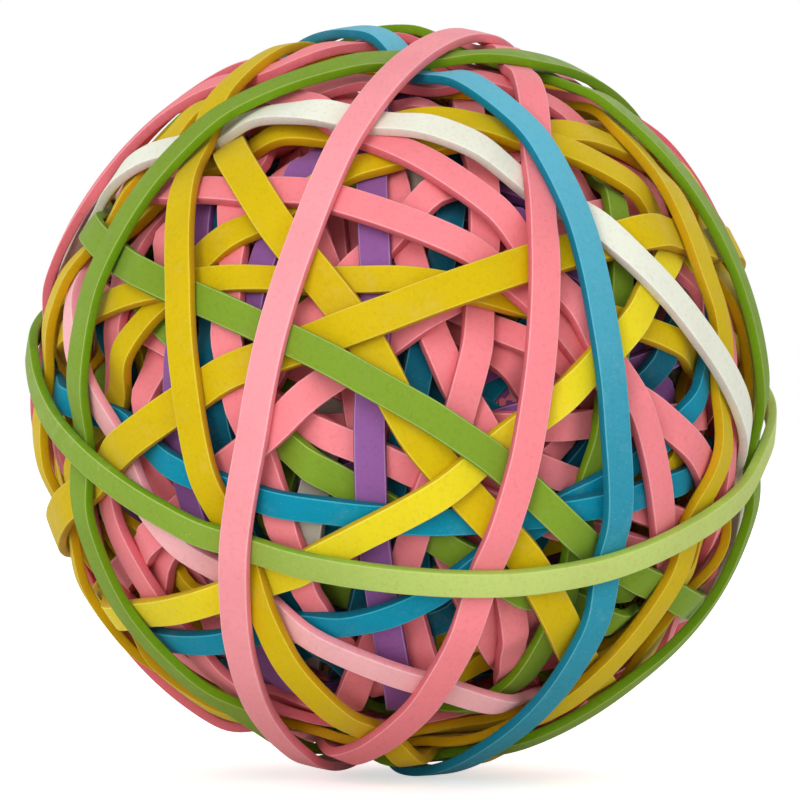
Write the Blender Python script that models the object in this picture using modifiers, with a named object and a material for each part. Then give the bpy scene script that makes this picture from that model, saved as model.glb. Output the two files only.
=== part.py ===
"""Rubber band ball: loops of coloured rubber band wound over one another.

Metres, +Z up, with the origin at the middle of the ball and the front of the
ball towards -Y. The bands are worked out one at a time, from the outside in:
the last band wound lies at the ball's full radius, and each earlier one is a
taut loop pressed down under every band that crosses over it.
"""
import math

import bmesh
import bpy
import numpy as np
from mathutils import Vector
from mathutils.bvhtree import BVHTree

# Driving dimensions, in metres; the drop is how far below the ball's radius the
# first of these bands may rise at most, and the power how fast that fades
BALL_RADIUS = 0.0376
BAND_THICKNESS = 0.0006
SEAT_GAP = 0.0003
NARROW = 0.0026
USUAL = 0.0030
WIDE = 0.0035
DEEPEST_BAND_DROP = 0.0035
DROP_POWER = 2.0

# How the routes below are read: each point is the middle of a band as it is
# seen from the front, from the centre of the ball, in units in which the ball
# has the radius and the eye the distance given here. How deep a band lies at a
# point is found by laying it a few times
RADIUS_SEEN = 37.6
EYE_AWAY = 450.0
ROUTE_UNIT = BALL_RADIUS / RADIUS_SEEN
LAYING_PASSES = 5
BEHIND = "behind"

# Fineness of the winding: reaches and runs are in steps round the loop
STEPS_ROUND = 360
STEP_TURN = math.tau / STEPS_ROUND
ROUTE_SOFTNESS = 5
HIDDEN_FADE = math.radians(40)
EDGE_MARGIN = 0.00035
LARGEST_LEAN = 0.20
STATIONS = np.linspace(-1.0, 1.0, 5)
PRESS_REACH = 50
PRESS_SHARPNESS = 8.0
CEILING_SLACK = 0.00010
RING_SLACK = 0.00040
LONGEST_RUN = 19
CORE_SUBDIVISIONS = 4
CORE_LOOKOUT = math.radians(9.5)
LOOKOUT_RINGS = 4
RAYS_IN_FIRST_RING = 6

# Base colour of each rubber
COLOURS = {
    "core": (0.30, 0.10, 0.12),
    "pink": (0.93, 0.29, 0.33),
    "rose": (1.00, 0.38, 0.43),
    "yellow": (0.78, 0.58, 0.02),
    "lemon": (0.88, 0.74, 0.07),
    "green": (0.23, 0.38, 0.03),
    "lime": (0.54, 0.72, 0.20),
    "blue": (0.01, 0.28, 0.43),
    "sky": (0.08, 0.46, 0.65),
    "purple": (0.33, 0.12, 0.36),
    "white": (0.92, 0.95, 0.82),
}
RUBBER_ROUGHNESS = 0.55

# The bands in the order they are wound: colour, width and route
BANDS = [
    ("purple", NARROW, [
        (-14, 28.8), (-18.3, 22), (-19.7, 17.5), (-22, 8), (-22.9, -3), (-21.5, -9), (-18, -17.5),
        (-13.8, -26.5),
    ]),
    ("pink", USUAL, [
        (6.5, 28.3), (8, 25), (8.5, 20), (8.6, 16), (8.2, 10), (7.8, 5), (7.3, 0), (5, -5),
        (2.8, -8), (1, -15), (-1.5, -22), (-3, -25), (-4.5, -29),
    ]),
    ("purple", USUAL, [
        (-2.9, 25.3), (-2.8, 22), (-2.7, 17), (-2.5, 14), (-2.2, 11.5), (-2.8, 3), (-3.2, -3),
        (-3.2, -8), (-2.9, -13), (-2.4, -16), (-2.1, -20), (-0.9, -24.5), (0, -26.5), (0, -30.5),
    ]),
    ("green", NARROW, [
        (8, 34.2), (10, 33.5), (18.8, 25.5), (20.2, 22.8), (21.2, 19.5),
        (22, 14), (22.3, 9), (21.8, 3), (20.7, -3), (19.3, -7.5), (18, -14), (16.5, -20.5),
        (15, -24.5), (13, -28),
    ]),
    ("yellow", NARROW, [
        (4, 31.3), (8, 30.6), (12, 30.2), (15, 29.3), (18, 27.5), (20.6, 25.5), (22.5, 23.6),
        (24.5, 21.2), (26.1, 19.4),
    ]),
    ("yellow", USUAL, [(-32.7, 11.5), (-33.4, 9), (-33.6, 4), (-33.2, -13), (-31.8, -16.5), (-30.8, -18.3)]),
    ("pink", NARROW, [(-33.7, 12), (-34.7, 8), (-34.3, 3), (-34.4, -3), (-34.5, -6.5)]),
    ("pink", USUAL, [
        (11, 31.9), (8.5, 32.6), (6, 32.9), (-10, 30.4), (-22, 26.5), (-26, 22.5), (-28.2, 20.5),
        (-30, 18),
    ]),
    ("pink", USUAL, [
        (-25, 18), (-26.3, 15.5), (-27.8, 11.5), (-29, 8), (-30.3, 3), (-30.5, -2), (-30.2, -7),
        (-29.3, -10.8), (-28.3, -13.3), (-26.8, -16.3), (-25, -19.5), (-22, -24), (-19.5, -26.9),
        (-17, -28.8), (-13, -31.2),
    ]),
    ("yellow", USUAL, [(-28.3, 3.5), (-26.5, 7), (-23, 12), (-19, 15.6), (-16.5, 16.7), (-14.5, 17.5)]),
    ("yellow", NARROW, [(-19.5, 12.3), (-17, 12.2), (-13, 12.2), (24.8, 7.3), (28, 6)]),
    ("yellow", USUAL, [
        (-26, 18.5), (-23.5, 21), (-19, 24), (-14.5, 25.8), (-11, 26.4), (-8, 26.8), (8.5, 27.8),
        (11.2, 26.9),
    ]),
    ("blue", NARROW, [
        (-28, -22), (-24.5, -23.9), (-21, -24.5), (-18, -24.3),
        (-9.5, -22.6), (-5, -22.9), (-1, -22), (0, -21.6), (3, -20.2), (5.5, -18.3), (8.5, -16.4),
        (12.5, -13), (17, -10), (20, -8.8), (23.5, -6.8), (26.8, -4), (29, -1.8), (30.5, 2),
    ]),
    ("blue", NARROW, [
        (-29, -1.5), (-25, -5.3), (-22, -7.2), (-17.5, -9.2), (-14, -10.4), (-8, -11.1),
        (-2, -11.9), (5, -12.4), (12, -12), (19, -10.7), (24, -9.7), (28, -8.2), (31, -6.6),
    ]),
    ("pink", USUAL, [
        (-17, 20.5), (-13, 21.7), (-11, 21.4), (-6, 20), (-3, 19.3), (0, 18.2), (3, 17), (6, 15.6),
        (8.5, 14.6), (12, 12), (14.5, 10), (16.8, 6), (18.3, 4),
    ]),
    ("pink", USUAL, [
        (-3, 26.2), (0, 25.2), (3, 24), (6, 22.4), (9, 20.2), (11, 18), (12.2, 15.9), (14.5, 13.5),
        (17, 10.5), (19, 7.5), (20.5, 5), (23, 2), (24.7, -1), (25.2, -4), (26, -7.5), (26.4, -10.5),
        (26.3, -12.8), (26.8, -17), (26.5, -21), (24, -26.5), (21.5, -28.8),
    ]),
    ("rose", NARROW, [
        (-24, -13.2), (-21.5, -15.2), (-19, -17.2), (-16, -19), (-12.8, -20.8),
        (-11.5, -22.3), (-10, -23.6), (-8, -24.6), (-6, -25.4), (-4, -26.4), (-2, -27.4), (0, -28.3),
        (5.5, -29.3), (8, -29.8), (10, -30.2), (12.5, -30.6),
    ]),
    ("yellow", NARROW, [
        (-20, -30.5), (-18, -31.5), (-15.5, -32.4), (10, -32.9),
        (13.5, -30.8), (17, -28.3), (20.5, -25),
    ]),
    ("pink", NARROW, [
        (27, 21.5), (31, 13), (33, 5), (33, -2), (32.5, -9), (31.6, -14.5), (31.8, -17),
        (31, -19.5), (29.6, -21.3),
    ]),
    ("yellow", WIDE, [
        (-19, 28.5), (-17.7, 26.5), (-16.5, 24), (-15, 21.3), (-13.5, 18.8), (-12, 16.5), (-8.7, 13),
        (-7, 10.8), (-5.5, 9), (-3.5, 6.5), (-2, 4), (-1, 1), (0, -1.8), (2, -4.5), (4, -6.5),
        (6, -8.8), (8.5, -11.7), (12.5, -15.3), (13.7, -17), (15.2, -20.4), (16.5, -22.8),
        (17.4, -25.3),
    ]),
    ("lemon", USUAL, [
        (-30.5, -21.5), (-26, -21.5), (-22, -21), (-18.8, -20), (-13.5, -18.7), (-10, -17.3),
        (-7, -15), (-5, -14.2), (-3, -13.4), (-1, -12.5), (1, -11.5), (3, -10.3), (5, -9), (7, -7.7),
        (8, -6.8), (10.5, -3.5), (15.5, -1), (19, 3), (21.5, 5), (23.3, 7), (24.6, 9.8), (26.6, 13.8),
    ]),
    ("yellow", USUAL, [(32.5, 14.3), (34, 11.5), (35.5, 8.3), (36.4, 5), (36.7, 2), (20, 32, BEHIND)]),
    ("yellow", USUAL, [(-36.8, -1), (-36.4, -4), (-35.6, -8), (-30, -22, BEHIND)]),
    ("yellow", WIDE, [
        (33, 14.5), (31, 16.5), (28, 17), (25, 16.8), (22, 16.3), (19, 15.6), (16.5, 15), (12, 13.5),
        (8, 12), (4, 10.5), (0, 9.1), (-4, 7.6), (-8, 6.2), (-12, 5), (-16.5, 3.5), (-20, 1.2),
        (-24, -1.7), (-27, -4), (-29.5, -6.2), (-31.5, -9), (-34.5, -12), (-35.2, -13.5),
    ]),
    ("green", USUAL, [
        (-28, 13.5), (-26, 12.8), (-24, 11.7), (-20, 10), (-18, 9.2),
        (-16, 8.2), (-14.5, 7.6), (-11, 6), (-9, 5.2), (-7, 4.2), (-5, 3), (-2, 1.3), (1, -0.3),
        (4, -2), (7, -3.9), (9.5, -5.7), (12, -8), (14, -10), (16, -12), (18, -14), (19.5, -15.4),
        (22.5, -17.3), (24.5, -18.3), (26.3, -19), (29, -20.6), (31, -21.8),
    ]),
    ("yellow", USUAL, [
        (14.3, 32.8), (16, 32), (18, 30.8), (20, 29.5), (22, 27.8), (23.5, 26.3), (25, 24.8),
        (26.3, 23), (27.3, 21), (28.3, 19), (29, 17), (30, 14.5), (31, 12), (32, 9), (32.8, 6),
        (33.2, 4), (32.8, 1), (32.6, -1.5), (32.8, -4), (32.7, -6), (32, -8.3), (30.8, -10.5),
        (29.5, -12), (28.7, -15.5), (28, -17.5), (27.3, -19.3), (25.8, -21.5), (24, -23.7),
        (22, -25.8), (20, -27.8), (18.3, -29.5), (16.7, -31),
    ]),
    ("white", USUAL, [
        (-33, 17), (-31.5, 19.5), (-29, 22), (-27, 24), (-25, 25.2), (-23.5, 26),
        (-16, 28.7), (-13, 29), (-10, 28.9), (-6.5, 28.6), (-2.5, 28.5), (0, 28.2), (3, 27.5),
        (6, 26.5), (9, 25), (11.5, 23), (19.5, 18.5), (21, 17), (22.5, 15.5), (24.5, 13.3),
        (26.5, 11.2), (28.5, 9), (30, 7.2), (31.5, 5.5), (32.4, 3.5), (33.5, 1.5), (34.7, -0.5),
        (35.3, -3), (35.3, -5), (34.9, -6.7), (34.5, -10.5), (33.8, -14), (33, -17),
    ]),
    ("pink", USUAL, [
        (-9, 34.2), (-13, 33.2), (-18, 32.5), (-20.5, 31.4), (-23.5, 29), (-26.5, 26.5), (-28, 24.7),
        (-29.5, 22.5), (-31.5, 20.2), (-35.5, 8, BEHIND), (-34.5, -10, BEHIND),
        (-22, -28, BEHIND), (5, -35, BEHIND), (28, -21, BEHIND), (34, 5, BEHIND),
        (24, 27, BEHIND), (8, 36.5), (0, 36),
    ]),
    ("pink", USUAL, [
        (12, 35.2, BEHIND), (17, 33), (20.3, 31), (26, 26, BEHIND), (34, 10, BEHIND),
        (33, -15, BEHIND), (15, -33, BEHIND), (-15, -33, BEHIND), (-33, -13, BEHIND),
        (-33, 14, BEHIND), (-12, 34, BEHIND),
    ]),
    ("yellow", USUAL, [
        (-14.5, 33.8), (-16.5, 32.8), (-17.8, 31.3), (-19, 29.5),
        (-20.3, 26.8), (-21.3, 24), (-21.7, 21), (-22, 18), (-22.2, 12), (-22.2, 8), (-21.8, 3),
        (-21.2, -1), (-20.5, -5), (-19.8, -7.5), (-18.7, -10.8), (-16.5, -14.5), (-14.5, -18),
        (-14.3, -20), (-13.9, -22.5), (-13, -24.8), (-11, -27.2), (-8.7, -29.6), (-6, -32),
        (-3.3, -33.6), (0, -35.2), (3, -36.4),
    ]),
    ("green", USUAL, [
        (22, 29.2), (27, 24.5), (31.5, 18.5), (34.5, 12), (30.8, -22.3), (28.3, -24.5), (25, -27),
        (21.5, -29.6), (17.8, -31.5), (3, -37), (-2, -37.4),
    ]),
    ("pink", USUAL, [
        (11.3, 35), (12.3, 33), (13.2, 31), (13.7, 29), (13.8, 24), (14.1, 21), (14.3, 18),
        (14.6, 14), (14.6, 10), (14.4, 6), (14, 2), (13.4, -2), (13, -5), (12.3, -8), (11.2, -11),
        (9.9, -14), (8.8, -17), (7.6, -21), (6.4, -24), (5, -27), (3.3, -29.7), (1.5, -32),
        (-1, -34.2), (-3.5, -35.6), (-5.5, -35.8),
    ]),
    ("sky", USUAL, [
        (-4, 36.6), (-1, 36), (1, 35.2), (3.5, 34), (6, 32.9), (8, 31.6),
        (10, 30.2), (12, 28.6), (14, 26.7), (15.5, 24.8), (16.8, 22.3), (17.6, 20), (18.3, 17.5),
        (19, 15), (19.5, 12.5), (20, 10), (20.6, 7.5), (21, 5), (21.4, 2), (21.6, -1), (21.7, -4),
        (22, -7), (22.1, -10), (22, -13), (21.5, -15.5), (20.9, -19), (20, -22), (18.7, -25),
        (17, -27.8), (15, -30.3), (12.5, -32.7), (10, -34.6), (7.5, -36), (5, -37),
    ]),
    ("green", USUAL, [
        (14, 34), (10, 34.9), (5, 35.1), (-2, 34), (-8, 32.8), (-14, 31.2), (-18, 29.4), (-22, 26),
        (-26, 20.8), (-29.5, 15.5),
        (-31.3, 12), (-32, 8), (-32.1, 2), (-32.3, -3), (-32.7, -8), (-31, -14.5), (-28.8, -20),
        (-25.5, -25), (-20.5, -29.3), (-15.5, -31.7),
    ]),
    ("lime", NARROW, [
        (36.9, -4), (36.3, -7), (35.2, -9), (33.5, -10.8), (31, -12.5), (28, -14),
        (25, -15.7), (22, -16.9), (19, -17.5), (16, -18), (12, -18.6), (8, -18.8), (4, -18.6),
        (0, -18.3), (-4, -17.6), (-8, -16.9), (-12, -16), (-15, -15.5), (-18.5, -14.7),
        (-21, -13.2), (-24, -11.3), (-27, -9.5), (-30, -7.6), (-33, -5.2), (-35, -2.8), (-36.3, 0),
        (-36.7, 3),
    ]),
    ("rose", USUAL, [
        (8, 37), (5, 36.6), (2, 35), (0, 33.5), (-2, 31.3), (-4, 28.9), (-5.5, 26.5),
        (-7, 23.5), (-9, 18), (-10.7, 14), (-12, 10), (-13.5, 5), (-14.2, 0), (-14.6, -2.5),
        (-15.9, -10), (-16.7, -14), (-17.1, -17), (-17, -21), (-16.4, -24), (-15.5, -28), (-14, -32),
        (-11.8, -34.5), (-10.6, -35.2),
    ]),
]


def start_collection(name):
    """Empty the scene and give it one collection for the ball."""
    for old in list(bpy.data.objects):
        bpy.data.objects.remove(old)
    collection = bpy.data.collections.new(name)
    bpy.context.scene.collection.children.link(collection)
    return collection


def rubber(colour_name):
    """A rubber of one of the named colours, made once."""
    name = colour_name + "_rubber"
    material = bpy.data.materials.get(name)
    if material is None:
        material = bpy.data.materials.new(name)
        material.use_nodes = True
        shader = material.node_tree.nodes["Principled BSDF"]
        shader.inputs["Base Color"].default_value = (*COLOURS[colour_name], 1.0)
        shader.inputs["Roughness"].default_value = RUBBER_ROUGHNESS
        shader.inputs["Metallic"].default_value = 0.0
    return material


def seen_direction(point, radius):
    """Direction from the centre to a route point, seen on a sphere of the given radius."""
    layer_radius = radius / ROUTE_UNIT
    eye = Vector((0.0, -EYE_AWAY, 0.0))
    sight = Vector((point[0], 0.0, point[1])) - eye
    sight.normalize()
    nearest = -eye.dot(sight)
    miss = (eye + sight * nearest).length
    half_chord = math.sqrt(max(layer_radius ** 2 - miss ** 2, 0.0))
    if BEHIND not in point:
        half_chord = -half_chord
    return (eye + sight * (nearest + half_chord)).normalized()


def best_axis(directions):
    """Axis of the great circle that passes closest to all the directions."""
    rows = np.array([tuple(direction) for direction in directions])
    axis = np.linalg.eigh(rows.T @ rows)[1][:, 0]
    largest = axis[np.argmax(np.abs(axis))]
    return Vector(axis * math.copysign(1.0, largest))


def smoothed(values):
    """The closed row of values, blurred over a few steps."""
    reach = 3 * ROUTE_SOFTNESS
    offsets = np.arange(-reach, reach + 1)
    weights = np.exp(-0.5 * (offsets / ROUTE_SOFTNESS) ** 2)
    weights /= weights.sum()
    closed = np.concatenate([values[-reach:], values, values[:reach]])
    return np.convolve(closed, weights, mode="valid")


def side_steps(directions, axis, across, along, turns):
    """How far, as an angle, the route leaves its great circle at each turn."""
    seen = sorted(
        (math.atan2(d.dot(along), d.dot(across)) % math.tau, math.asin(d.dot(axis)))
        for d in directions
    )
    angles = [angle for angle, _ in seen]
    gaps = [(after - before) % math.tau for before, after in zip(angles, angles[1:] + angles[:1])]
    widest = int(np.argmax(gaps))
    if gaps[widest] > 2.0 * HIDDEN_FADE:
        hidden_from = angles[widest]
        for angle in (hidden_from + HIDDEN_FADE, hidden_from + gaps[widest] - HIDDEN_FADE):
            seen.append((angle % math.tau, 0.0))
    seen.sort()
    return smoothed(np.interp(turns, [s[0] for s in seen], [s[1] for s in seen], period=math.tau))


def laid_path(directions):
    """Unit directions and sideways directions of a closed route, one for each step round."""
    axis = best_axis(directions)
    across = (directions[0] - axis * directions[0].dot(axis)).normalized()
    along = axis.cross(across)
    turns = np.arange(STEPS_ROUND) * STEP_TURN
    steps = side_steps(directions, axis, across, along, turns)
    path = []
    for turn, step in zip(turns, steps):
        flat = across * math.cos(turn) + along * math.sin(turn)
        path.append(flat * math.cos(step) + axis * math.sin(step))
    sides = []
    for index, direction in enumerate(path):
        tangent = path[(index + 1) % STEPS_ROUND] - path[index - 1]
        sides.append(direction.cross(tangent).normalized())
    return path, sides


def edge_ceilings(direction, side, width, limit, above):
    """Largest radius of the left and the right edge that stays under what lies above."""
    half = width / 2.0 + EDGE_MARGIN
    ceilings = []
    for station in STATIONS:
        offset = station * half
        towards = (direction * limit + side * offset).normalized()
        hit = above.ray_cast(Vector(), towards)[0]
        ceiling = limit if hit is None else min(limit, hit.length - SEAT_GAP)
        ceilings.append(math.sqrt(ceiling ** 2 - offset ** 2))
    lean = max(-LARGEST_LEAN * width, min(LARGEST_LEAN * width, ceilings[-1] - ceilings[0]))
    left = min(c - lean * (station + 1.0) / 2.0 for c, station in zip(ceilings, STATIONS))
    return left, left + lean


def pressed_taut(ceilings):
    """Radii of a stretched loop that is pressed down to its ceilings where bands cross over it."""
    taut = ceilings.copy()
    for reach in range(1, PRESS_REACH):
        rise = 1.0 + PRESS_SHARPNESS * (reach * STEP_TURN) ** 2 / 2.0
        taut = np.minimum(taut, np.roll(ceilings, reach, axis=0) * rise)
        taut = np.minimum(taut, np.roll(ceilings, -reach, axis=0) * rise)
    return taut


def laid_where_seen(width, limit, route, above):
    """Path and sideways directions of a band whose route points lie where they are seen."""
    depths = [limit] * len(route)
    for _ in range(LAYING_PASSES):
        directions = [seen_direction(point, depth) for point, depth in zip(route, depths)]
        path, sides = laid_path(directions)
        ceilings = np.array([edge_ceilings(d, s, width, limit, above) for d, s in zip(path, sides)])
        radii = pressed_taut(ceilings).mean(axis=1)
        rows = np.array([tuple(step) for step in path])
        depths = [radii[np.argmax(rows @ np.array(direction))] for direction in directions]
    return path, sides, ceilings


def straight_run(radii, start, end):
    """Steps between two rings, and the radii there of the straight runs that join them."""
    gone = np.arange(1, end - start)[:, None] * STEP_TURN
    run = (end - start) * STEP_TURN
    first, last = radii[start % STEPS_ROUND], radii[end % STEPS_ROUND]
    chord = first * last * np.sin(run) / (first * np.sin(gone) + last * np.sin(run - gone))
    return np.arange(start + 1, end) % STEPS_ROUND, chord


def run_fits(taut, ceilings, start, end):
    """Whether a straight run keeps under the ceilings and close to the taut loop."""
    steps, chord = straight_run(taut, start, end)
    too_high = (chord - ceilings[steps]).max(initial=0.0) > CEILING_SLACK
    too_low = (taut[steps] - chord).max(initial=0.0) > RING_SLACK
    return not (too_high or too_low)


def choose_rings(taut, ceilings):
    """Steps at which the band gets a ring of points, close where it bends most."""
    start = int(taut.mean(axis=1).argmax())
    rings = [start]
    for step in range(start + 1, start + STEPS_ROUND):
        if step + 1 - rings[-1] > LONGEST_RUN or not run_fits(taut, ceilings, rings[-1], step + 1):
            rings.append(step)
    return sorted(ring % STEPS_ROUND for ring in rings)


def lowered(taut, ceilings, rings):
    """The taut radii, with each ring lowered until the straight runs clear the ceilings."""
    radii = taut.copy()
    for start, end in zip(rings, rings[1:] + [rings[0] + STEPS_ROUND]):
        steps, chord = straight_run(taut, start, end)
        share = (ceilings[steps] / chord).min(initial=1.0)
        for ring in (start, end % STEPS_ROUND):
            radii[ring] = np.minimum(radii[ring], taut[ring] * share)
    return radii


def straightened(vectors, rings):
    """Unit vectors for every step of a band that runs straight from ring to ring."""
    straight = list(vectors)
    for ring, following in zip(rings, rings[1:] + [rings[0] + STEPS_ROUND]):
        for step in range(ring, following):
            share = (step - ring) / (following - ring)
            mixed = vectors[ring].lerp(vectors[following % STEPS_ROUND], share)
            straight[step % STEPS_ROUND] = mixed.normalized()
    return straight


def closed_edge(bm, points):
    """A closed loop of edges through the points."""
    verts = [bm.verts.new(point) for point in points]
    return [bm.edges.new((vert, verts[index - 1])) for index, vert in enumerate(verts)]


def band_edges(width, limit, route, above):
    """Points along the left and the right edge of a band, one of each for every ring."""
    path, sides, ceilings = laid_where_seen(width, limit, route, above)
    rings = choose_rings(pressed_taut(ceilings), ceilings)
    path = straightened(path, rings)
    sides = straightened(sides, rings)
    ceilings = np.array([edge_ceilings(d, s, width, limit, above) for d, s in zip(path, sides)])
    radii = lowered(pressed_taut(ceilings), ceilings, rings)
    left = [path[ring] * radii[ring, 0] - sides[ring] * (width / 2.0) for ring in rings]
    right = [path[ring] * radii[ring, 1] + sides[ring] * (width / 2.0) for ring in rings]
    return left, right


def add_band(name, colour_name, left, right, collection):
    """One band: the strip between its two edges, thickened inwards."""
    bm = bmesh.new()
    bmesh.ops.bridge_loops(bm, edges=closed_edge(bm, left) + closed_edge(bm, right))
    bm.normal_update()
    first = next(iter(bm.faces))
    if first.normal.dot(first.calc_center_median()) < 0.0:
        bmesh.ops.reverse_faces(bm, faces=bm.faces)
    mesh = bpy.data.meshes.new(name)
    bm.to_mesh(mesh)
    bm.free()
    mesh.shade_smooth()
    mesh.materials.append(rubber(colour_name))
    band = bpy.data.objects.new(name, mesh)
    collection.objects.link(band)
    thickness = band.modifiers.new("thickness", "SOLIDIFY")
    thickness.thickness = BAND_THICKNESS
    thickness.offset = -1.0
    thickness.use_even_offset = True
    return band


def core_radius_towards(direction, above):
    """Radius that the core can have there, under every band within reach of a core facet."""
    sideways = direction.orthogonal().normalized()
    other = direction.cross(sideways)
    lowest = BALL_RADIUS - DEEPEST_BAND_DROP
    for ring in range(LOOKOUT_RINGS + 1):
        tilt = CORE_LOOKOUT * ring / LOOKOUT_RINGS
        count = max(RAYS_IN_FIRST_RING * ring, 1)
        for index in range(count):
            turn = math.tau * index / count
            lean = (sideways * math.cos(turn) + other * math.sin(turn)) * math.tan(tilt)
            hit = above.ray_cast(Vector(), (direction + lean).normalized())[0]
            if hit is not None:
                lowest = min(lowest, hit.length - SEAT_GAP - EDGE_MARGIN)
    return lowest


def add_core(above, collection):
    """The fused mass of the innermost bands, which no view tells apart."""
    mesh = bpy.data.meshes.new("wound_core")
    bm = bmesh.new()
    bmesh.ops.create_icosphere(bm, subdivisions=CORE_SUBDIVISIONS, radius=1.0)
    for vert in bm.verts:
        vert.co = vert.co * core_radius_towards(vert.co.normalized(), above)
    bm.to_mesh(mesh)
    bm.free()
    mesh.shade_smooth()
    mesh.materials.append(rubber("core"))
    core = bpy.data.objects.new("wound_core", mesh)
    collection.objects.link(core)


class Overhead:
    """Everything placed so far, as one surface that the next band stays under."""

    def __init__(self):
        self.points = []
        self.faces = []

    def add(self, piece):
        graph = bpy.context.evaluated_depsgraph_get()
        mesh = piece.evaluated_get(graph).to_mesh()
        start = len(self.points)
        self.points += [vertex.co.copy() for vertex in mesh.vertices]
        self.faces += [[start + index for index in face.vertices] for face in mesh.polygons]

    def tree(self):
        return BVHTree.FromPolygons(self.points, self.faces)


def planned_bands():
    """Name, colour, width, largest radius and route of each band, as wound."""
    counts = {}
    planned = []
    for index, (colour, width, route) in enumerate(BANDS):
        counts[colour] = counts.get(colour, 0) + 1
        lateness = index / (len(BANDS) - 1)
        limit = BALL_RADIUS - DEEPEST_BAND_DROP * (1.0 - lateness) ** DROP_POWER
        planned.append((f"{colour}_band_{counts[colour]:02d}", colour, width, limit, route))
    return planned


def build_ball():
    """Place each band under the ones wound after it, and the core under them all."""
    collection = start_collection("rubber_band_ball")
    overhead = Overhead()
    for name, colour, width, limit, route in reversed(planned_bands()):
        left, right = band_edges(width, limit, route, overhead.tree())
        overhead.add(add_band(name, colour, left, right, collection))
    add_core(overhead.tree(), collection)


build_ball()
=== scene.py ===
import math

import bmesh
import bpy
import numpy as np
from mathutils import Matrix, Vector
from mathutils.bvhtree import BVHTree


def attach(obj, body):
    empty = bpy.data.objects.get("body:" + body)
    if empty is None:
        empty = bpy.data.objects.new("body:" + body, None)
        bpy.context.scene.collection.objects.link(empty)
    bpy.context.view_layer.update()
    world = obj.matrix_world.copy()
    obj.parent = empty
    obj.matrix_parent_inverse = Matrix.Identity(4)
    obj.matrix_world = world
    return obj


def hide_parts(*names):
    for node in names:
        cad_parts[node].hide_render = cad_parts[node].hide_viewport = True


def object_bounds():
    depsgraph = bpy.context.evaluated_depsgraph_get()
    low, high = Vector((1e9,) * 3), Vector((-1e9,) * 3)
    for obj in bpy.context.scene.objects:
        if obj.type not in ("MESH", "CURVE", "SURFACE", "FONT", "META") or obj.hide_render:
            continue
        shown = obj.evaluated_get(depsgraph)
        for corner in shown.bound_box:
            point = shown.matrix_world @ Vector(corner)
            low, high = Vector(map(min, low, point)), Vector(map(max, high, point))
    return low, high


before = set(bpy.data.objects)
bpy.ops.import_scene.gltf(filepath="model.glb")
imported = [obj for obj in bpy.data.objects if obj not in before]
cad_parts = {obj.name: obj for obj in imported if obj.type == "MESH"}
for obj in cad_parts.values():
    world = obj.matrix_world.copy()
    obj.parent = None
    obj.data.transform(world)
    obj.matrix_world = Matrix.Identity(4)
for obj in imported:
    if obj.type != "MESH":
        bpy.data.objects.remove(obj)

CAD_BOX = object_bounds()

# Camera: the photograph shows 80 mm of the ball's middle plane across its width
EYE_DISTANCE = 0.450
SEEN_WIDTH = 0.080
SENSOR = 36.0
NEAREST_SEEN = 0.01
LEVEL_TILT = math.radians(90.0)

# The bands as they look, in metres. Those pressed underneath show less, and
# their tubes take only every second step
THICKNESS = 0.00095
EDGE_ROUND = 0.00017
CORNER_BEND = 0.3
EDGE_SHARE = 0.5
CROWN = 0.00003
STEPS = 360
STEP_TURN = math.tau / STEPS
UNDER_STRIDE = 2
KINK_SOFTNESS = 2.0
PRESS_SOFTNESS = 1.5
BLUR_REACH = 3
WELD = 0.000001
FLAT_WEIGHT = 100

# How a band is pressed down under the bands that cross over it
SEAT_GAP = 0.00005
EDGE_MARGIN = 0.0002
LARGEST_LEAN = 0.25
STATIONS = np.linspace(-1.0, 1.0, 5)
PRESS_REACH = 45
PRESS_SHARPNESS = 9.0
RIM_SHARPNESS = 20.0
DEEPEST = 0.0290

# How a route that was traced in the photograph is read
ROUTE_UNIT = 0.001
ROUTE_SOFTNESS = 5
HIDDEN_FADE = math.radians(40)
LAYING_PASSES = 4
BEHIND = "behind"
TRACED_LIMIT = 0.0363

# Bands that only look out near the outline
RIM_BANDS = 22
RIM_LIMIT = 0.0368
RIM_WIDTH = 0.0028
RIM_START = 0.06
RIM_SPREAD = 0.55
RIM_TILT = 0.22
RIM_COLOURS = ["green", "yellow", "pink", "lemon", "blue", "pink", "green", "yellow"]

# Bands that fill the depth between the others, and the dark ball under them all, whose colour is
# painted shade
FILLERS = 84
FILLER_LIMITS = (0.0354, 0.0322)
FILLER_WIDTHS = (0.0026, 0.0030, 0.0033)
FILLER_OFFSET = 0.06
FILLER_WAVES = 2.0
FILLER_STRIDE = 31
FILLER_START = (0.3, 0.5, 0.8)
FILLER_COLOURS = (
    ["pink"] * 7 + ["yellow"] * 5 + ["green"] * 3 + ["teal"] * 3
    + ["blue", "purple", "purple", "grey"]
)
GOLDEN_TURN = math.pi * (3.0 - math.sqrt(5.0))
SEED = 7
HEART_RADIUS = 0.0285
HEART_SUBDIVISIONS = 5

# Colours of the rubbers as the photograph shows them, 0 to 255: the moulded faces, and the cut
# edges, which carry less dust and are deeper, partly by their own colour and partly by painted
# shade
FACES = {
    # The core's dark colour is painted shade for the bottom of the deepest gaps
    "core": (70, 22, 32),
    "pink": (252, 140, 148),
    "rose": (255, 160, 168),
    "blush": (255, 188, 192),
    "yellow": (217, 187, 0),
    "lemon": (238, 218, 32),
    "green": (128, 161, 44),
    "lime": (138, 170, 56),
    "blue": (0, 144, 174),
    "sky": (44, 152, 178),
    "purple": (147, 92, 158),
    "white": (243, 245, 228),
    "grey": (190, 186, 172),
    "teal": (0, 90, 112),
}
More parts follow.
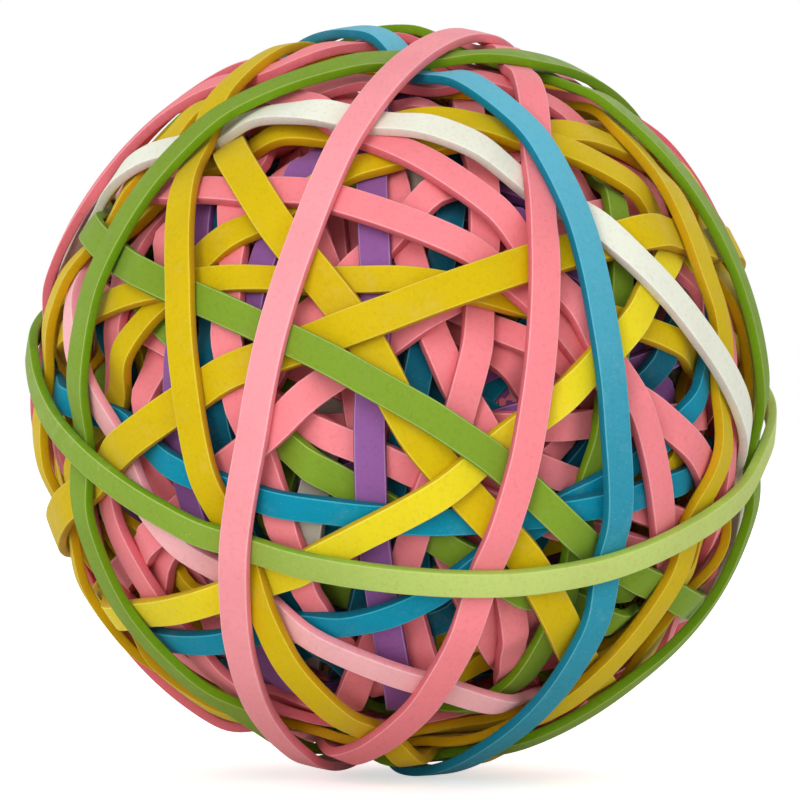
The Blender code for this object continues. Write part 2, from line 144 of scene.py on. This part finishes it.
# Cut edges: their deeper colours are partly painted shade of the side faces
CUT_EDGES = {
    # The core's edge colour is painted shade too
    "core": (60, 18, 26),
    "pink": (226, 112, 122),
    "rose": (250, 138, 150),
    "blush": (246, 160, 170),
    "yellow": (200, 156, 0),
    "lemon": (214, 180, 0),
    "green": (110, 152, 14),
    "lime": (116, 160, 18),
    "blue": (0, 108, 134),
    "sky": (12, 126, 152),
    "purple": (120, 68, 134),
    "white": (216, 208, 194),
    "grey": (164, 154, 142),
    "teal": (0, 70, 90),
}
# Bands that are paler than the others of their slot
OWN_SHADE = {"rose_band_01": "blush"}
# Bands that go over to a paler colour: along which axis, from where to where, and to which colour
FACE_FADES = {
    "lime": ("X", -0.022, 0.012, (200, 220, 122)),
    # The sky band's paler top is painted light from above
    "sky": ("Z", -0.014, 0.036, (104, 190, 214)),
}
EDGE_FADES = {"lime": ("X", -0.022, 0.012, (172, 198, 88))}

# Textures of the rubber. Each has the scale, detail and roughness of its noise,
# then the range of the noise, and the values that this range is taken to
CLOUDS = ((130.0, 3.0, 0.6), (0.40, 0.75, 0.0, 0.30))
GRAIN = ((2200.0, 2.0, 0.6), (0.48, 0.75, 0.0, 0.34))
FILM = ((260.0, 4.0, 0.7), (0.52, 0.80, 0.0, 0.35))
TALC = ((5200.0, 1.0, 0.5), (0.66, 0.78, 0.0, 0.40))
SCUFFS = ((420.0, 3.0, 0.6), (0.30, 0.75, 0.52, 0.72))
# The pits have the scale, detail and roughness of their noise alone
PITS = (2400.0, 4.0, 0.65)
PIT_STRENGTH = 0.30
PIT_DEPTH = 0.00005
SPECULAR = 0.12
SHEEN = 0.04
SHEEN_ROUGHNESS = 0.5
DEEPENING = (0.80, 0.72, 0.70, 1.0)
DUST = (0.95, 0.92, 0.80, 1.0)
FACE_DUST = 0.13
EDGE_DUST = 0.08
# Share by which the corners go towards white: a painted highlight along the rounded edges
CORNER_HIGHLIGHT = 0.22

# Studio: each soft box has its place in metres, its power in watts and its size in metres
SOFTBOXES = {
    "key_softbox": ((-0.30, -1.05, 0.60), 4.4, 0.7),
    "fill_softbox": ((0.75, -0.85, 0.10), 1.8, 0.7),
    "low_softbox": ((-0.35, -0.85, 0.11), 1.4, 0.28),
    "back_softbox": ((0.55, 1.00, 0.75), 4.0, 0.8),
    "side_softbox": ((-0.95, 0.75, 0.20), 2.5, 0.7),
}
WHITE = (1.0, 1.0, 1.0, 1.0)
WORLD_LIGHT = 0.55
WORLD_SEEN = 1.0
FLOOR_SHADE = (0.90, 0.90, 0.90, 1.0)
FLOOR_ROUGHNESS = 0.8
FLOOR_SEEN_GLOW = 0.6
FLOOR_HALF = 3.0
FLOOR_GAP = 0.0002

# Bands traced in the photograph that lie under the CAD's: colour, width and route in millimetres
TRACED = [
    ("pink", 0.0030, [(-10.5, 0), (-13, -4), (-17.8, -6.6)]),
    ("pink", 0.0030, [(-17, 3), (-15.3, -3), (-13.2, -8), (-11.8, -13), (-10, -18), (-8.8, -21)]),
    ("teal", 0.0028, [(-19.5, 9), (-18.3, 2), (-18, -5)]),
    ("green", 0.0030, [(-11, -5.3), (-8, -7), (-5.5, -8.5), (28.3, -21)]),
    ("pink", 0.0028, [(-8.5, -3), (-5, -4.6), (-1, -6), (1.5, -7.5)]),
    ("pink", 0.0030, [(4, 21.3), (1, 18.5), (-2, 15.7), (-5, 12.5)]),
    ("pink", 0.0030, [
        (-1.2, 24), (-0.5, 20.5), (0.5, 15.5), (1.5, 12.3), (3.3, 7), (4.3, 4.4), (5.3, 1.5),
        (7, -1), (9, -2.6),
    ]),
    ("pink", 0.0030, [(3.6, 29), (6.2, 28.9), (7.8, 27.4)]),
    ("teal", 0.0028, [(5.3, 19.6), (4.5, 16.5), (4.2, 13.8)]),
    ("purple", 0.0033, [(-14, -25.9), (-11, -29.5), (-7.5, -33), (-4.6, -34.7)]),
    ("green", 0.0030, [(-12.6, -31.7), (-9.5, -34.2), (-5, -36.3), (0, -37.2)]),
    ("pink", 0.0033, [(8, -21.4), (8.7, -22.7), (11.2, -27.1)]),
    ("pink", 0.0033, [(11.1, -20.7), (13.6, -25)]),
    ("green", 0.0028, [(3.5, -33.2), (6.3, -32.4), (9.8, -31.5)]),
    ("pink", 0.0028, [(1.2, -22.6), (2.4, -26.6)]),
    ("yellow", 0.0030, [(-24.6, -15), (-22.5, -17.5)]),
    ("pink", 0.0030, [(-21.3, -16.8), (-20.2, -18.8)]),
    ("teal", 0.0028, [(-25, -7.2), (-22.4, -10)]),
    ("pink", 0.0028, [(14.4, -7), (17, -8)]),
    ("pink", 0.0028, [(15, -2.8), (20, -2.4)]),
    ("teal", 0.0028, [(22, 22.2), (23.5, 20.9), (13, -12.5), (14.5, -14)]),
    ("grey", 0.0030, [(1.5, 22), (-3, 10), (-7, -1.5), (-9.2, -13.5)]),
    ("green", 0.0030, [(-10, -18.6), (-4, -19.7), (3, -20.5), (10, -20.3), (17, -19.3)]),
    ("pink", 0.0030, [(-9.5, -26.2), (-8, -27), (-5.5, -28.5), (-2, -30.5)]),
    ("white", 0.0030, [(27.5, 13.5), (29.5, 10), (20.8, -24.7)]),
    ("sky", 0.0030, [(-35.7, 8.5), (-36, 5), (-30, 20, BEHIND)]),
    ("lime", 0.0028, [(-36.3, 8), (-35, 11.5)]),
    ("purple", 0.0030, [(-12, 31.9), (-9.3, 33.4), (-5, 34.9)]),
    ("green", 0.0028, [(-2.3, 37), (1.3, 37)]),
    ("grey", 0.0028, [(-25, 14.3), (-27, -18.5)]),
]


def linear(shade):
    """The linear colour of a photograph colour from 0 to 255."""
    parts = [value / 255.0 for value in shade]
    return [p / 12.92 if p < 0.04045 else ((p + 0.055) / 1.055) ** 2.4 for p in parts] + [1.0]


def node_of(tree, kind, **values):
    """A shader node with some of its properties set."""
    node = tree.nodes.new(kind)
    for key, value in values.items():
        setattr(node, key, value)
    return node


def noise(tree, where, scale, detail, roughness):
    """A noise texture on the object's own metres."""
    node = node_of(tree, "ShaderNodeTexNoise")
    node.inputs["Scale"].default_value = scale
    node.inputs["Detail"].default_value = detail
    node.inputs["Roughness"].default_value = roughness
    tree.links.new(where, node.inputs["Vector"])
    return node.outputs["Fac"]


def ramp(tree, value, low, high, floor, ceiling):
    """The value, taken from the range low..high to the range floor..ceiling."""
    node = node_of(tree, "ShaderNodeMapRange", interpolation_type="SMOOTHSTEP")
    numbers = (low, high, floor, ceiling)
    for key, number in zip(("From Min", "From Max", "To Min", "To Max"), numbers):
        node.inputs[key].default_value = number
    tree.links.new(value, node.inputs["Value"])
    return node.outputs["Result"]


def tinted(tree, base, colour, share, blend="MIX"):
    """The base colour with another colour laid over it by a share that varies."""
    node = node_of(tree, "ShaderNodeMix", data_type="RGBA", blend_type=blend)
    tree.links.new(share, node.inputs["Factor"])
    if isinstance(base, list):
        node.inputs[6].default_value = base
    else:
        tree.links.new(base, node.inputs[6])
    node.inputs[7].default_value = colour
    return node.outputs[2]


def mixed(first, second, share):
    """A constant colour between two others."""
    return [a + (b - a) * share for a, b in zip(first, second)]


def faded(tree, where, base, fade):
    """The base colour, going over to a paler one along an axis."""
    axis, start, end, paler = fade
    parts = node_of(tree, "ShaderNodeSeparateXYZ")
    tree.links.new(where, parts.inputs["Vector"])
    share = ramp(tree, parts.outputs[axis], start, end, 0.0, 1.0)
    return tinted(tree, base, linear(paler), share)


def texture(tree, where, kind):
    """One of the rubber's textures, as a value that varies over the surface."""
    pattern, taken_to = kind
    return ramp(tree, noise(tree, where, *pattern), *taken_to)


def rubber_colour(tree, where, shade, dust, fade):
    """The cloudy, grainy colour of a rubber under its film of dust and talc."""
    base = linear(shade)
    dusty = mixed(base if fade is None else linear(fade[3]), DUST, dust)
    colour = base if fade is None else faded(tree, where, base, fade)
    for kind in (CLOUDS, GRAIN):
        colour = tinted(tree, colour, DEEPENING, texture(tree, where, kind), "MULTIPLY")
    for kind in (FILM, TALC):
        colour = tinted(tree, colour, dusty, texture(tree, where, kind))
    return colour


def rubber(name, shade, dust, fade=None):
    """Matte band rubber: its colour, a scuffed and uneven sheen, and fine pits."""
    material = bpy.data.materials.new(name)
    material.use_nodes = True
    tree = material.node_tree
    shader = tree.nodes["Principled BSDF"]
    where = node_of(tree, "ShaderNodeTexCoord").outputs["Object"]
    tree.links.new(rubber_colour(tree, where, shade, dust, fade), shader.inputs["Base Color"])
    tree.links.new(texture(tree, where, SCUFFS), shader.inputs["Roughness"])
    shader.inputs["Specular IOR Level"].default_value = SPECULAR
    shader.inputs["Sheen Weight"].default_value = SHEEN
    shader.inputs["Sheen Roughness"].default_value = SHEEN_ROUGHNESS
    bump = node_of(tree, "ShaderNodeBump")
    bump.inputs["Strength"].default_value = PIT_STRENGTH
    bump.inputs["Distance"].default_value = PIT_DEPTH
    tree.links.new(noise(tree, where, *PITS), bump.inputs["Height"])
    tree.links.new(bump.outputs["Normal"], shader.inputs["Normal"])
    return material


def edge_highlight(shade):
    """A painted highlight: the paler colour along the rounded corner between a face and a cut
    edge.
    """
    return [value + (255 - value) * CORNER_HIGHLIGHT for value in shade]


FACE_RUBBER = {
    name: rubber(name + "_band_face", shade, FACE_DUST, FACE_FADES.get(name))
    for name, shade in FACES.items()
}
# Rubbers of the cut edges, whose deeper colour is partly painted shade
EDGE_RUBBER = {
    name: rubber(name + "_band_edge", shade, EDGE_DUST, EDGE_FADES.get(name))
    for name, shade in CUT_EDGES.items()
}
# Rubbers of the rounded corners, which carry the painted highlight
CORNER_RUBBER = {
    name: rubber(name + "_band_corner", edge_highlight(shade), FACE_DUST, FACE_FADES.get(name))
    for name, shade in FACES.items()
}


def corners_of(node):
    """The corner points of a CAD band's section, and the way each corner faces."""
    bm = bmesh.new()
    bm.from_mesh(node.data)
    bmesh.ops.remove_doubles(bm, verts=bm.verts, dist=WELD)
    bm.normal_update()
    points = np.array([vert.co[:] for vert in bm.verts])
    facing = np.array([vert.normal[:] for vert in bm.verts])
    bm.free()
    return points, facing


def flattest_axis(points):
    """Axis of the plane through the centre that lies closest to the points."""
    axis = np.linalg.eigh(points.T @ points)[1][:, 0]
    return axis * math.copysign(1.0, axis[np.argmax(np.abs(axis))])


def blurred(values, softness):
    """A closed row of values, blurred over a few steps."""
    reach = int(BLUR_REACH * softness) + 1
    offsets = np.arange(-reach, reach + 1)
    weights = np.exp(-0.5 * (offsets / softness) ** 2)
    weights /= weights.sum()
    closed = np.concatenate([values[-reach:], values, values[:reach]])
    return np.convolve(closed, weights, mode="valid")


def even_row(loop, axis, across, along):
    """The closed row of points, read again at every step of turn round the axis."""
    radii = np.linalg.norm(loop, axis=1)
    turns = np.arctan2(loop @ along, loop @ across) % math.tau
    leans = np.arcsin(np.clip(loop @ axis / radii, -1.0, 1.0))
    order = np.argsort(turns)
    steps = np.arange(STEPS) * STEP_TURN
    radii = np.interp(steps, turns[order], radii[order], period=math.tau)
    leans = np.interp(steps, turns[order], leans[order], period=math.tau)
    radii = blurred(radii, KINK_SOFTNESS)[:, None]
    leans = blurred(leans, KINK_SOFTNESS)[:, None]
    flat = np.cos(steps)[:, None] * across + np.sin(steps)[:, None] * along
    return radii * (flat * np.cos(leans) + axis * np.sin(leans))


def outer_edges(node):
    """The left and the right outer edge of a CAD band, at even steps."""
    points, facing = corners_of(node)
    axis = flattest_axis(points)
    outer = (facing * points).sum(axis=1) > 0.0
    right = facing @ axis > 0.0
    across = points[0] - axis * (points[0] @ axis)
    across /= np.linalg.norm(across)
    along = np.cross(axis, across)
    return [even_row(points[outer & side], axis, across, along) for side in (~right, right)]


def section_points(width):
    """The band's rounded section: how far sideways and how far in each point lies."""
    half = width / 2.0
    bend = EDGE_ROUND * CORNER_BEND
    corner = [(half - EDGE_ROUND, 0.0), (half - bend, bend), (half, EDGE_ROUND)]
    top = [(0.0, -CROWN)] + corner
    bottom = [(side, THICKNESS - deep) for side, deep in reversed(corner)]
    right = top + bottom
    left = [(-side, deep) for side, deep in reversed(right[1:])]
    return np.array(right + left)


def tube_points(left, right, section):
    """The points of a closed tube: the section, set at every step between two edges."""
    sideways = right - left
    sideways /= np.linalg.norm(sideways, axis=1)[:, None]
    middle = (left + right) / 2.0
    tangent = np.roll(middle, -1, axis=0) - np.roll(middle, 1, axis=0)
    inward = np.cross(sideways, tangent)
    inward /= np.linalg.norm(inward, axis=1)[:, None]
    inward *= -np.sign((inward * middle).sum(axis=1))[:, None]
    rows = [middle + sideways * side + inward * deep for side, deep in section]
    return np.stack(rows, axis=1).reshape(-1, 3)


def tube_faces(steps, count):
    """The faces of a closed tube, with as many steps and points to a section as given."""
    faces = []
    for step in range(steps):
        here = step * count
        there = (step + 1) % steps * count
        for index in range(count):
            after = (index + 1) % count
            faces.append((here + index, here + after, there + after, there + index))
    return faces


def outward_mesh(name, points, faces):
    """A smooth mesh whose faces all look outward."""
    mesh = bpy.data.meshes.new(name)
    mesh.from_pydata(points.tolist(), [], faces)
    bm = bmesh.new()
    bm.from_mesh(mesh)
    bmesh.ops.recalc_face_normals(bm, faces=bm.faces)
    bm.to_mesh(mesh)
    bm.free()
    mesh.shade_smooth()
    return mesh


def paint_band(mesh, colour, section, width, steps):
    """The moulded face, the cut edge with its partly painted shade, and the rounded corner with
    its painted highlight, each in its own rubber.
    """
    for rubbers in (FACE_RUBBER, EDGE_RUBBER, CORNER_RUBBER):
        mesh.materials.append(rubbers[colour])
    reach = np.abs(section[:, 0] + np.roll(section[:, 0], -1)) / 2.0
    is_edge = reach > width / 2.0 - EDGE_ROUND * EDGE_SHARE
    is_corner = ~is_edge & (reach > width / 2.0 - EDGE_ROUND)
    slots = np.tile(is_edge + 2 * is_corner, steps).astype(np.int32)
    mesh.polygons.foreach_set("material_index", slots)


def band_object(name, left, right, colour):
    """A band between its two outer edges, as one closed tube of rounded section."""
    width = float(np.median(np.linalg.norm(right - left, axis=1)))
    section = section_points(width)
    faces = tube_faces(len(left), len(section))
    mesh = outward_mesh(name, tube_points(left, right, section), faces)
    paint_band(mesh, colour, section, width, len(left))
    band = bpy.data.objects.new(name, mesh)
    bpy.context.scene.collection.objects.link(band)
    flat_faces = band.modifiers.new("flat_faces", "WEIGHTED_NORMAL")
    flat_faces.weight = FLAT_WEIGHT
    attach(band, "root")
    return band


def seen_direction(point, radius):
    """Direction from the centre to a route point, seen on a sphere of the given radius."""
    eye = Vector((0.0, -EYE_DISTANCE, 0.0))
    sight = (Vector((point[0] * ROUTE_UNIT, 0.0, point[1] * ROUTE_UNIT)) - eye).normalized()
    nearest = -eye.dot(sight)
    miss = (eye + sight * nearest).length
    half_chord = math.sqrt(max(radius ** 2 - miss ** 2, 0.0))
    if BEHIND not in point:
        half_chord = -half_chord
    return np.array((eye + sight * (nearest + half_chord)).normalized())


def traced_path(directions):
    """Unit directions and sideways directions of a closed route, at even steps."""
    axis = flattest_axis(directions)
    across = directions[0] - axis * (directions[0] @ axis)
    across /= np.linalg.norm(across)
    along = np.cross(axis, across)
    turns = np.arctan2(directions @ along, directions @ across) % math.tau
    leans = np.arcsin(directions @ axis)
    order = np.argsort(turns)
    turns, leans = turns[order], leans[order]
    gaps = np.diff(np.append(turns, turns[0] + math.tau))
    widest = int(np.argmax(gaps))
    fades = np.array([HIDDEN_FADE, gaps[widest] - HIDDEN_FADE]) + turns[widest]
    turns = np.append(turns, fades % math.tau)
    leans = np.append(leans, (0.0, 0.0))
    order = np.argsort(turns)
    steps = np.arange(STEPS) * STEP_TURN
    leans = np.interp(steps, turns[order], leans[order], period=math.tau)
    return path_round(axis, across, blurred(leans, ROUTE_SOFTNESS))


def laid_where_seen(width, limit, route, above):
    """Path and sideways directions of a band whose route points lie where they are seen."""
    depths = [limit] * len(route)
    for _ in range(LAYING_PASSES):
        directions = [seen_direction(point, depth) for point, depth in zip(route, depths)]
        path, sides = traced_path(np.array(directions))
        radii = pressed_radii(width, limit, PRESS_SHARPNESS, path, sides, above).mean(axis=1)
        depths = [radii[np.argmax(path @ direction)] for direction in directions]
    return path, sides


def path_round(axis, across, leans):
    """The path that leaves the great circle round an axis by the given angles."""
    along = np.cross(axis, across)
    steps = np.arange(STEPS)[:, None] * STEP_TURN
    flat = np.cos(steps) * across + np.sin(steps) * along
    path = flat * np.cos(leans)[:, None] + axis * np.sin(leans)[:, None]
    tangent = np.roll(path, -1, axis=0) - np.roll(path, 1, axis=0)
    sides = np.cross(path, tangent)
    return path, sides / np.linalg.norm(sides, axis=1)[:, None]


def ceilings_at(direction, side, width, limit, above):
    """Largest radius of the left and the right edge that stays under what lies above."""
    half = width / 2.0 + EDGE_MARGIN
    ceilings = []
    for station in STATIONS:
        offset = station * half
        towards = Vector(direction * limit + side * offset).normalized()
        hit = above.ray_cast(Vector(), towards)[0]
        ceiling = limit if hit is None else min(limit, hit.length - SEAT_GAP)
        ceiling = max(ceiling, DEEPEST)
        ceilings.append(math.sqrt(ceiling ** 2 - offset ** 2))
    most = LARGEST_LEAN * width
    lean = max(-most, min(most, ceilings[-1] - ceilings[0]))
    left = min(c - lean * (station + 1.0) / 2.0 for c, station in zip(ceilings, STATIONS))
    return left, left + lean


def pressed_taut(ceilings, sharpness):
    """Radii of a stretched loop, pressed down to its ceilings where bands cross over it."""
    taut = ceilings.copy()
    for reach in range(1, PRESS_REACH):
        rise = 1.0 + sharpness * (reach * STEP_TURN) ** 2 / 2.0
        taut = np.minimum(taut, np.roll(ceilings, reach, axis=0) * rise)
        taut = np.minimum(taut, np.roll(ceilings, -reach, axis=0) * rise)
    return taut


class Overhead:
    """Everything placed so far, as the surface that the next band stays under."""

    def __init__(self):
        self.points = []
        self.faces = []

    def add_node(self, node):
        """A solid of the CAD, as it is."""
        start = len(self.points)
        self.points += [node.matrix_world @ vertex.co for vertex in node.data.vertices]
        self.faces += [[start + index for index in face.vertices] for face in node.data.polygons]

    def add_strip(self, left, right):
        """The underside of a band, one face for each step."""
        start = len(self.points)
        self.points += [Vector(point) * (1.0 - THICKNESS / np.linalg.norm(point))
                        for pair in zip(left, right) for point in pair]
        for step in range(STEPS):
            here = start + 2 * step
            there = start + 2 * ((step + 1) % STEPS)
            self.faces.append([here, here + 1, there + 1, there])

    def tree(self):
        """Everything so far, ready for rays to be cast at it."""
        return BVHTree.FromPolygons(self.points, self.faces)


def pressed_radii(width, limit, sharpness, path, sides, above):
    """Radii of both edges of a band that is pressed down under everything above."""
    ceilings = [ceilings_at(d, s, width, limit, above) for d, s in zip(path, sides)]
    radii = np.maximum(pressed_taut(np.array(ceilings), sharpness), DEEPEST)
    return np.stack([blurred(edge, PRESS_SOFTNESS) for edge in radii.T], axis=1)


def add_under(name, colour, width, limit, sharpness, path, sides, overhead):
    """A band that is pressed down under everything placed so far."""
    radii = pressed_radii(width, limit, sharpness, path, sides, overhead.tree())
    left = path * radii[:, :1] - sides * (width / 2.0)
    right = path * radii[:, 1:] + sides * (width / 2.0)
    band = band_object(name, left[::UNDER_STRIDE], right[::UNDER_STRIDE], colour)
    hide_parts("wound_core")
    overhead.add_strip(left, right)


def spread_axis(index, count):
    """One of a number of axes spread evenly over half a sphere."""
    height = (index + 0.5) / count
    flat = math.sqrt(1.0 - height * height)
    turn = index * GOLDEN_TURN
    return np.array((flat * math.cos(turn), flat * math.sin(turn), height))


def unit(direction):
    """The direction at length one."""
    return direction / np.linalg.norm(direction)


def add_camera():
    """The photograph's eye: level with the ball's middle, straight in front of it."""
    data = bpy.data.cameras.new("photo_camera")
    data.sensor_width = SENSOR
    data.lens = SENSOR * EYE_DISTANCE / SEEN_WIDTH
    data.clip_start = NEAREST_SEEN
    camera = bpy.data.objects.new("photo_camera", data)
    camera.location = (0.0, -EYE_DISTANCE, 0.0)
    camera.rotation_euler = (LEVEL_TILT, 0.0, 0.0)
    bpy.context.scene.collection.objects.link(camera)
    bpy.context.scene.camera = camera


def add_light(name, place, power, size):
    """A square soft box that looks at the middle of the ball."""
    data = bpy.data.lights.new(name, "AREA")
    data.energy = power
    data.size = size
    light = bpy.data.objects.new(name, data)
    light.location = place
    light.rotation_euler = (-Vector(place)).to_track_quat("-Z", "Y").to_euler()
    bpy.context.scene.collection.objects.link(light)


def where_seen(tree, elsewhere, seen):
    """A strength that is another one where the camera looks straight at a thing."""
    path = node_of(tree, "ShaderNodeLightPath")
    return ramp(tree, path.outputs["Is Camera Ray"], 0.0, 1.0, elsewhere, seen)


def add_world():
    """White surroundings that light the ball plainly."""
    world = bpy.data.worlds.new("white_studio")
    world.use_nodes = True
    tree = world.node_tree
    background = tree.nodes["Background"]
    background.inputs["Color"].default_value = WHITE
    tree.links.new(where_seen(tree, WORLD_LIGHT, WORLD_SEEN), background.inputs["Strength"])
    bpy.context.scene.world = world
    bpy.context.scene.view_settings.view_transform = "Standard"


def floor_material():
    """Pale and matte, and nearly white to the camera."""
    material = bpy.data.materials.new("pale_floor")
    material.use_nodes = True
    tree = material.node_tree
    shader = tree.nodes["Principled BSDF"]
    shader.inputs["Base Color"].default_value = FLOOR_SHADE
    shader.inputs["Roughness"].default_value = FLOOR_ROUGHNESS
    shader.inputs["Emission Color"].default_value = WHITE
    tree.links.new(where_seen(tree, 0.0, FLOOR_SEEN_GLOW), shader.inputs["Emission Strength"])
    return material


def add_floor():
    """A wide floor just under the ball."""
    level = float(np.array(CAD_BOX)[0][2]) - FLOOR_GAP
    sides = ((-1.0, -1.0), (1.0, -1.0), (1.0, 1.0), (-1.0, 1.0))
    corners = [(x * FLOOR_HALF, y * FLOOR_HALF, level) for x, y in sides]
    mesh = bpy.data.meshes.new("studio_floor")
    mesh.from_pydata(corners, [], [(0, 1, 2, 3)])
    mesh.materials.append(floor_material())
    floor = bpy.data.objects.new("studio_floor", mesh)
    bpy.context.scene.collection.objects.link(floor)


def dress_cad_bands(overhead):
    """Each band of the CAD, with its rounded edges and its rubber."""
    for name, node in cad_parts.items():
        if name == "wound_core":
            continue
        overhead.add_node(node)
        colour = OWN_SHADE.get(name, name.split("_")[0])
        left, right = outer_edges(node)
        band = band_object(name.replace("_band_", "_rubber_band_"), left, right, colour)
        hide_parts(name)


def add_traced_bands(overhead):
    """The inner bands that the photograph shows between the CAD's."""
    for index, (colour, width, route) in enumerate(TRACED):
        path, sides = laid_where_seen(width, TRACED_LIMIT, route, overhead.tree())
        name = f"traced_{colour}_band_{index:02d}"
        add_under(name, colour, width, TRACED_LIMIT, PRESS_SHARPNESS, path, sides, overhead)


def add_rim_bands(overhead):
    """Tilted rings round the outline, each set a little further back than the last."""
    for index in range(RIM_BANDS):
        share = index / (RIM_BANDS - 1)
        turn = index * GOLDEN_TURN
        axis = unit(np.array((RIM_TILT * math.cos(turn), 1.0, RIM_TILT * math.sin(turn))))
        across = unit(np.cross(axis, (0.0, 0.0, 1.0)))
        path, sides = path_round(axis, across, np.full(STEPS, RIM_START + RIM_SPREAD * share))
        colour = RIM_COLOURS[index % len(RIM_COLOURS)]
        name = f"rim_{colour}_band_{index:02d}"
        add_under(name, colour, RIM_WIDTH, RIM_LIMIT, RIM_SHARPNESS, path, sides, overhead)


def add_filler_bands(overhead):
    """Bands spread evenly over the ball, each lying a little deeper than the last."""
    chance = np.random.default_rng(SEED)
    for index in range(FILLERS):
        axis = spread_axis((index * FILLER_STRIDE) % FILLERS, FILLERS)
        across = unit(np.cross(axis, FILLER_START))
        offset = chance.uniform(-FILLER_OFFSET, FILLER_OFFSET)
        wave = chance.uniform(-FILLER_OFFSET, FILLER_OFFSET)
        start = chance.uniform(0.0, math.tau)
        leans = offset + wave * np.sin(FILLER_WAVES * np.arange(STEPS) * STEP_TURN + start)
        path, sides = path_round(axis, across, leans)
        colour = FILLER_COLOURS[chance.integers(len(FILLER_COLOURS))]
        width = FILLER_WIDTHS[chance.integers(len(FILLER_WIDTHS))]
        share = index / (FILLERS - 1)
        limit = FILLER_LIMITS[0] + (FILLER_LIMITS[1] - FILLER_LIMITS[0]) * share
        name = f"filler_{colour}_band_{index:02d}"
        add_under(name, colour, width, limit, PRESS_SHARPNESS, path, sides, overhead)


def add_painted_shade_heart():
    """The dark mass that the deepest gaps look down on; its colour is painted shade."""
    mesh = bpy.data.meshes.new("painted_shade_heart")
    bm = bmesh.new()
    bmesh.ops.create_icosphere(bm, subdivisions=HEART_SUBDIVISIONS, radius=HEART_RADIUS)
    bm.to_mesh(mesh)
    bm.free()
    mesh.shade_smooth()
    mesh.materials.append(FACE_RUBBER["core"])
    heart = bpy.data.objects.new("painted_shade_heart", mesh)
    bpy.context.scene.collection.objects.link(heart)
    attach(heart, "root")
    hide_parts("wound_core")


add_camera()
add_world()
for softbox, (place, power, size) in SOFTBOXES.items():
    add_light(softbox, place, power, size)
add_floor()

bands_above = Overhead()
dress_cad_bands(bands_above)
add_traced_bands(bands_above)
add_rim_bands(bands_above)
add_filler_bands(bands_above)
add_painted_shade_heart()
